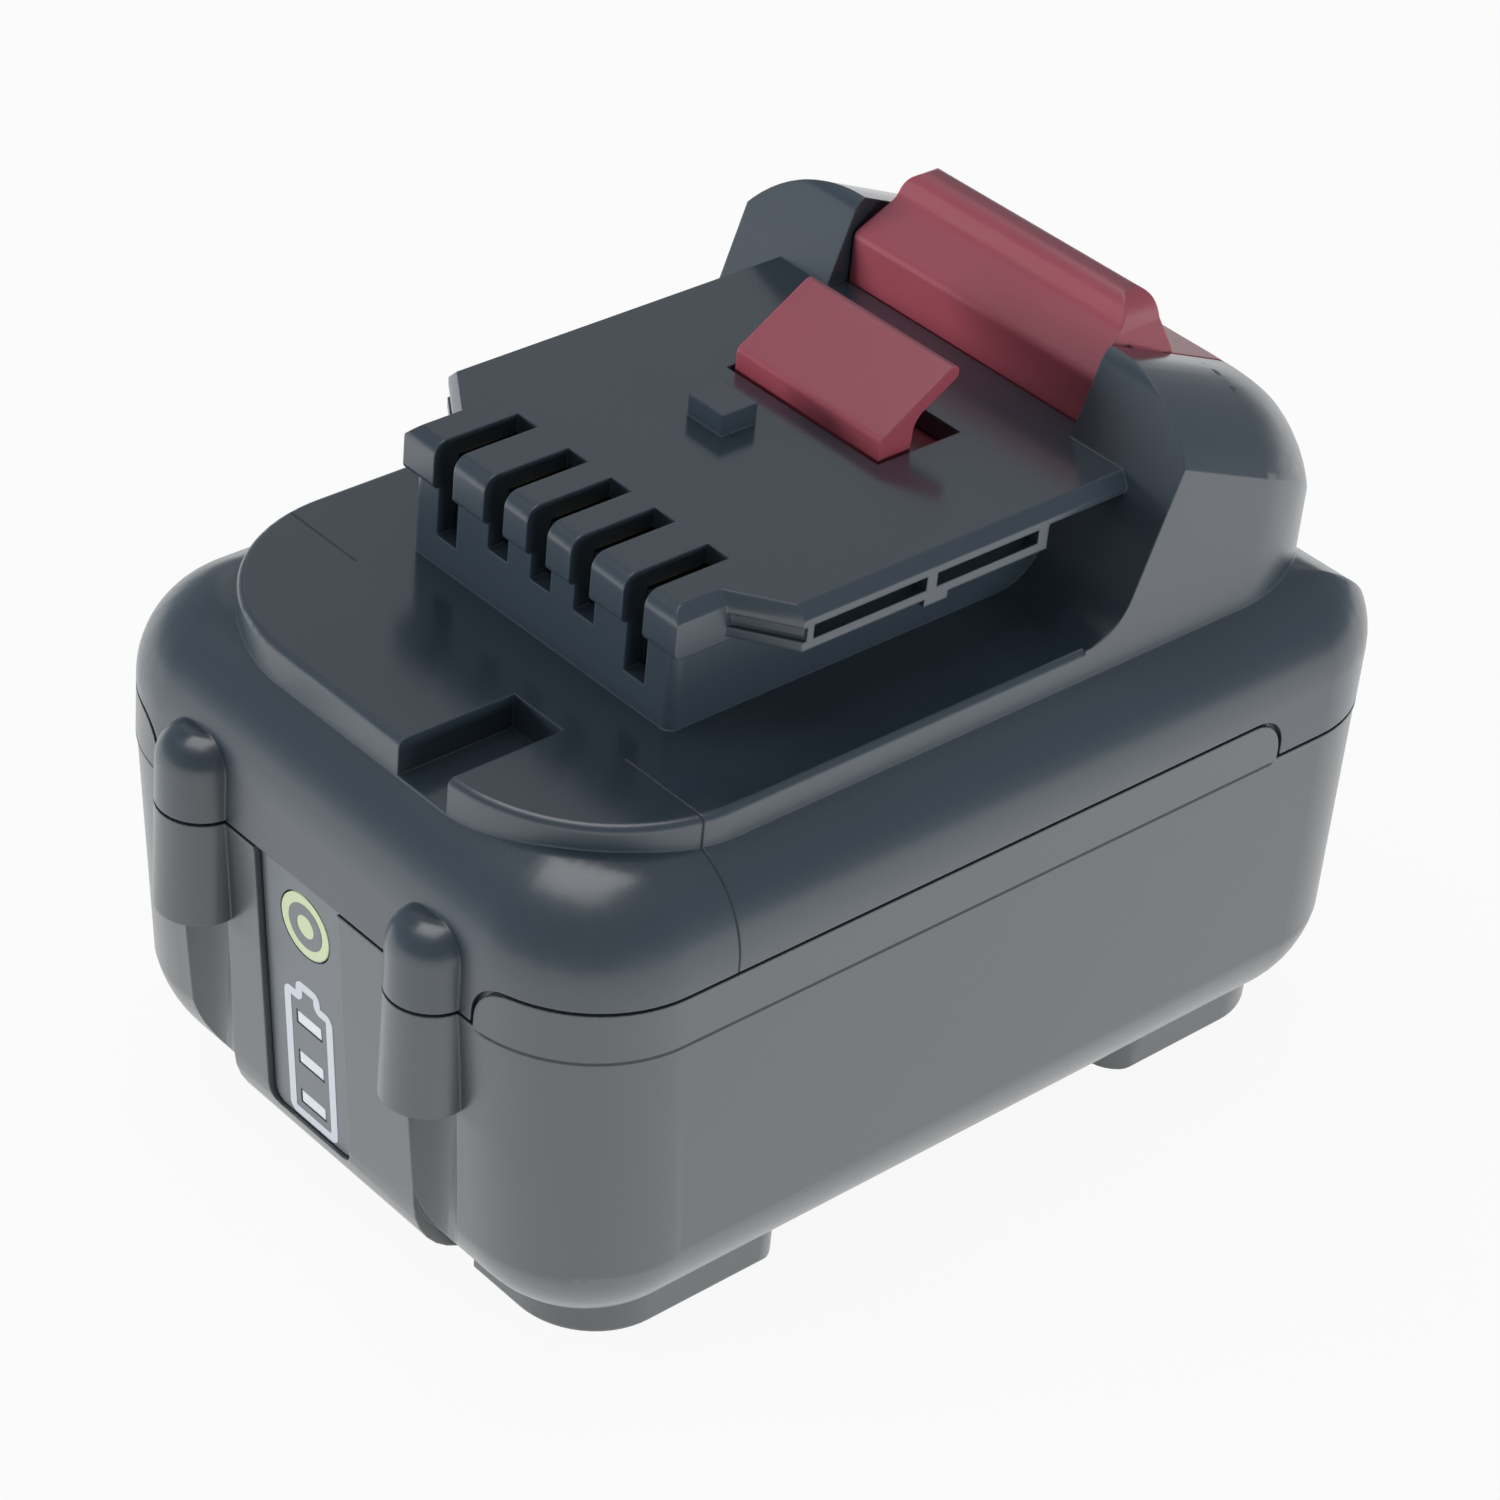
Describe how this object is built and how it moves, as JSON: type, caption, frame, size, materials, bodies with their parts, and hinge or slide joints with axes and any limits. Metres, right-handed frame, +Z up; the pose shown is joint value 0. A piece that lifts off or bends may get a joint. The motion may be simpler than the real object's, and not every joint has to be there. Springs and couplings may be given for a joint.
{
  "type": "power tool battery pack",
  "caption": "Slide-on battery pack with round shoulders, a flanged rail with terminal slots, a sprung latch with its release button and a front charge gauge.",
  "frame": {"origin": "on the resting surface, under the middle of the pack's bounding box", "axes": "+Z up through the rail, -Y out of the gauge face, +Y towards the release button"},
  "size_m": [0.075, 0.1172, 0.0862],
  "materials": {
    "case_plastic": "fine textured moulding",
    "housing_plastic": "semi-gloss moulding",
    "latch_plastic": "semi-gloss moulding",
    "label": "printed film",
    "check_button": "soft moulding",
    "clear_guide": "frosted",
    "board": "lacquered laminate",
    "black_parts": "moulded",
    "led": "clear moulding",
    "flex": "film",
    "contact": "plated",
    "steel": "plated",
    "cell_sleeve": "shrink sleeve",
    "holder": "moulded",
    "nickel": "rolled strip",
    "copper": "rolled strip",
    "insulator": "paper",
    "foam": "foam"
  },
  "bodies": {
    "case": {"lower_case": "case_plastic", "upper_housing": "housing_plastic", "gauge_label": "label", "light_guide": "clear_guide", "gauge_board": "board", "gauge_leds": "led", "check_switch": "black_parts", "gauge_ribbon": "flex", "main_board": "board", "board_parts": "black_parts", "terminal_carrier": "black_parts", "latch_spring_left": "steel", "latch_spring_right": "steel", "latch_base": "black_parts", "latch_base_screws": "steel", "cell_holder_left": "holder", "cell_holder_right": "holder", "positive_busbar": "copper", "negative_busbar": "copper", "top_insulator": "insulator", "base_pad": "foam", "thermistor": "black_parts", "case_screws": "steel", "terminal_1": "contact", "terminal_2": "contact", "terminal_3": "contact", "terminal_4": "contact", "terminal_5": "contact", "cell_1": "cell_sleeve", "cell_2": "cell_sleeve", "cell_3": "cell_sleeve", "cell_4": "cell_sleeve", "cell_5": "cell_sleeve", "cell_6": "cell_sleeve", "cell_7": "cell_sleeve", "cell_8": "cell_sleeve", "cell_9": "cell_sleeve", "cell_10": "cell_sleeve", "cell_link_1": "nickel", "cell_link_2": "nickel", "cell_link_3": "nickel", "cell_link_4": "nickel", "cell_link_5": "nickel", "cell_link_6": "nickel"},
    "latch": {"latch": "latch_plastic"},
    "gauge_button": {"gauge_button": "check_button", "switch_plunger": "clear_guide"}
  },
  "joints": [
    {"name": "latch_press", "type": "slide", "parent": "case", "child": "latch", "axis": [0, 0, -1], "range_m": [0, 0.0065], "stiffness_N_per_m": 900, "springref_m": -0.004, "deforming": ["latch_spring_left", "latch_spring_right"]},
    {"name": "gauge_press", "type": "slide", "parent": "case", "child": "gauge_button", "axis": [0, 0.9962, 0.0872], "range_m": [0, 0.0006], "stiffness_N_per_m": 1500, "springref_m": -0.0004}
  ]
}
